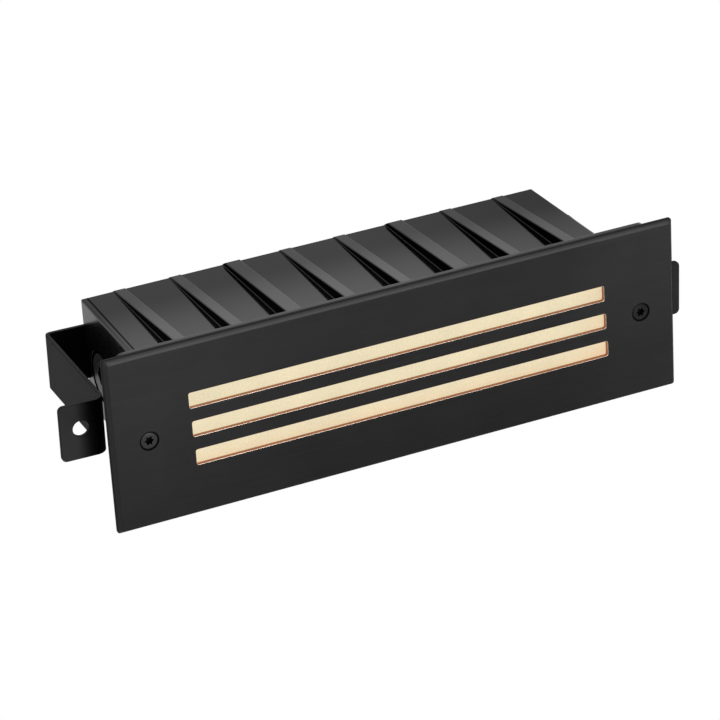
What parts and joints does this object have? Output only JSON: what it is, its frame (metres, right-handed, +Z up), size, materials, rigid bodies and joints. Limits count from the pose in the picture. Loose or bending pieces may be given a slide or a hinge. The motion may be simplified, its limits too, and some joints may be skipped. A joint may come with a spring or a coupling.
{
  "type": "recessed step light",
  "caption": "Recessed louvred step light: black faceplate with long light slots, ribbed box housing, warm frosted lens, and a U strap that swivels on the housing's rear.",
  "frame": {"origin": "centre of the wall opening, on the plane where the wall gasket rests on the wall's face", "axes": "+X along the light to the right as seen from the front, +Y into the wall, +Z up"},
  "size_m": [0.2538, 0.0852, 0.0698],
  "materials": {
    "plate_black": "black powder coat, brushed look, satin",
    "screw_black": "black oxide",
    "brass": "machined",
    "gasket_black": "closed-cell sponge",
    "lens_frost": "frosted, glows warm white",
    "silicone": "smooth",
    "housing_black": "cast, semi-gloss black coat",
    "pan_white": "white, high reflectance",
    "zinc": "zinc plated",
    "board_white": "white solder mask",
    "led_package": "phosphor",
    "nylon": "moulded",
    "driver_case": "moulded, potted",
    "lead_black": "insulation",
    "lead_red": "insulation",
    "lead_green": "insulation",
    "tin": "tinned",
    "ground_green": "green passivated",
    "strap_black": "black powder coat, satin"
  },
  "bodies": {
    "fixture": {"faceplate": "plate_black", "plate_screws": "screw_black", "plate_inserts": "brass", "wall_gasket": "gasket_black", "lens": "lens_frost", "lens_gasket": "silicone", "housing": "housing_black", "reflector_pan": "pan_white", "pan_screws": "zinc", "led_board": "board_white", "leds": "led_package", "board_screws": "zinc", "board_socket": "nylon", "pan_grommet": "gasket_black", "driver": "driver_case", "driver_screws": "zinc", "terminal_block": "nylon", "terminal_screws": "brass", "block_screws": "zinc", "supply_leads": "lead_black", "board_leads": "lead_red", "ground_lead": "lead_green", "ground_lug": "tin", "ground_screw": "ground_green", "conduit_plug": "housing_black", "strap_insert": "brass", "strap_screw": "screw_black", "strap_washer": "zinc", "spring_washer": "zinc"},
    "strap": {"strap": "strap_black"}
  },
  "joints": [
    {"name": "strap_swivel", "type": "hinge", "parent": "fixture", "child": "strap", "pos_m": [0, 0.07583, -0.0017], "axis": [0, 1, 0], "continuous": true}
  ]
}
